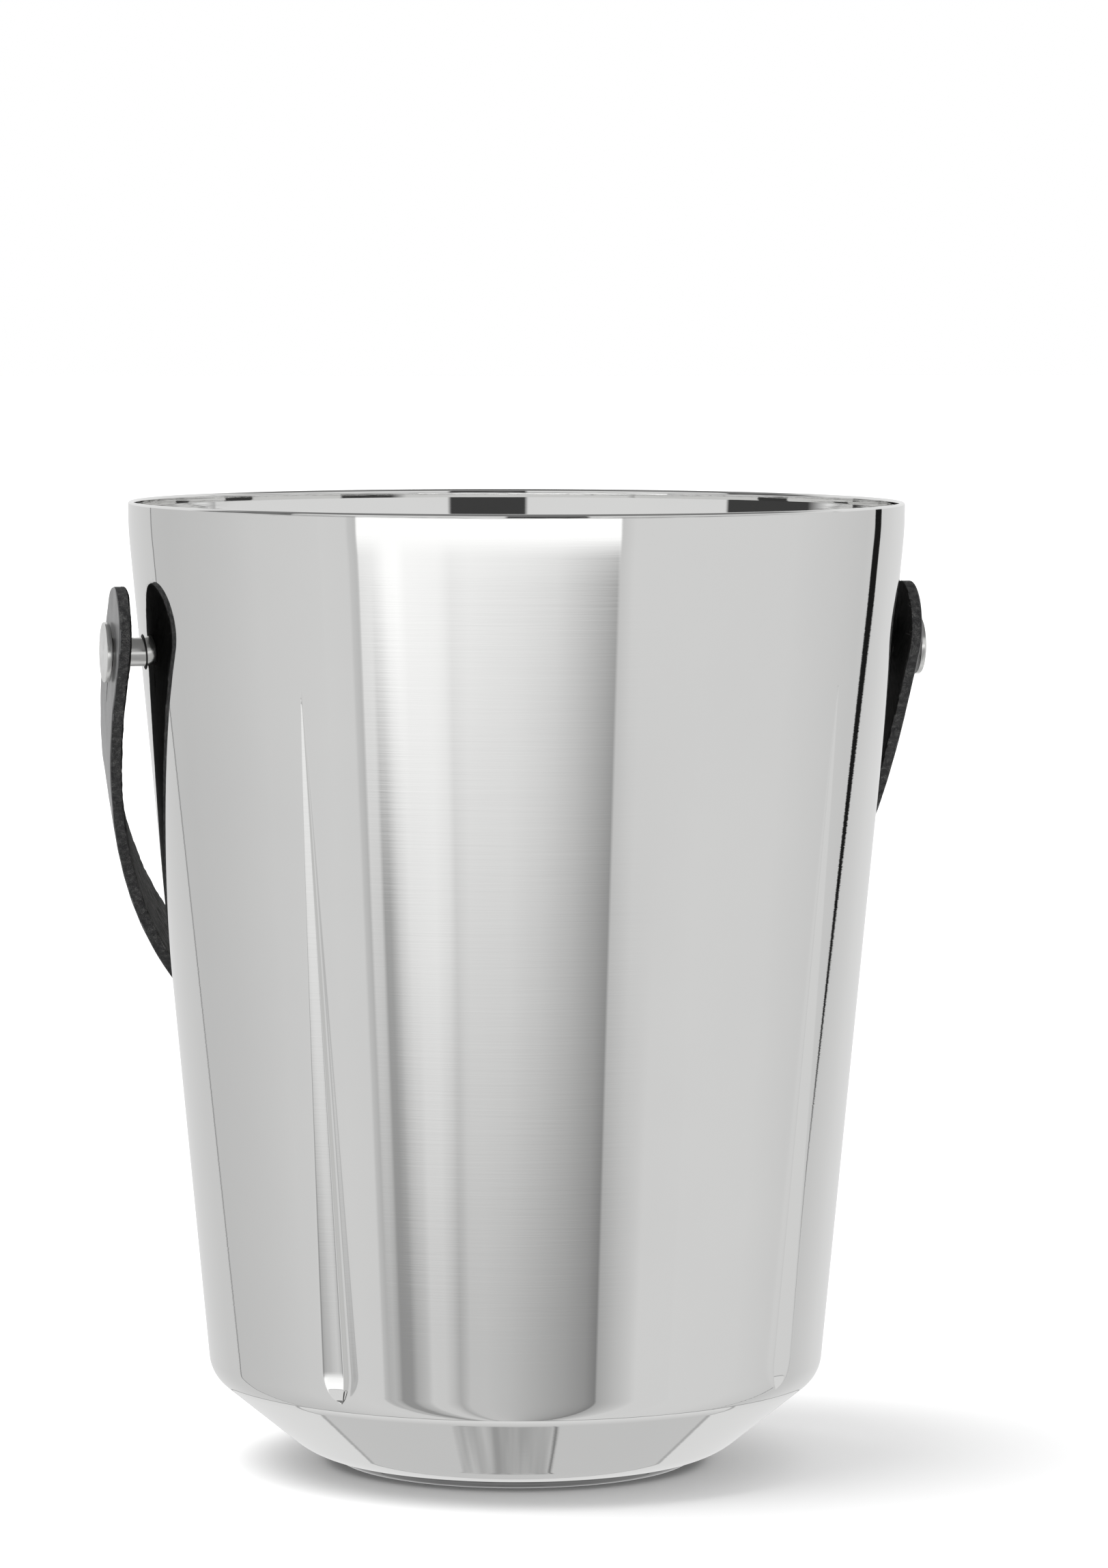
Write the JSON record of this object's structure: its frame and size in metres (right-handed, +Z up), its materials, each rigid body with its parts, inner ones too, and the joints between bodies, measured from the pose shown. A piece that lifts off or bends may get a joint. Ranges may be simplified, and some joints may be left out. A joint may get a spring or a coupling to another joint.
{
  "type": "champagne bucket",
  "caption": "Tapered polished steel bucket with pressed flutes, a stepped base and a buttoned leather carrying strap that swings on studs.",
  "frame": {"origin": "centre of the flat base, on the surface that the bucket stands on", "axes": "+Z up along the bucket's axis, X through the two strap studs, +Y towards the side where the strap hangs at rest"},
  "size_m": [0.215, 0.2056, 0.249],
  "materials": {
    "polished_steel": "mirror polished stainless steel",
    "turned_steel": "fine turned stainless steel",
    "black_rubber": "matt black",
    "black_leather": "black vegetable tanned, smooth grain side, fibrous flesh side and cut edges"
  },
  "bodies": {
    "bucket": {"outer_shell": "polished_steel", "inner_liner": "polished_steel", "base_cap": "polished_steel", "stud_left": "turned_steel", "stud_right": "turned_steel", "stud_bush_left": "black_rubber", "stud_bush_right": "black_rubber", "stud_nut_left": "turned_steel", "stud_nut_right": "turned_steel"},
    "handle": {"strap": "black_leather"}
  },
  "joints": [
    {"name": "strap_swing", "type": "hinge", "parent": "bucket", "child": "handle", "pos_m": [0, 0, 0.211], "axis": [1, 0, 0], "range_deg": [0, 282.6]}
  ]
}
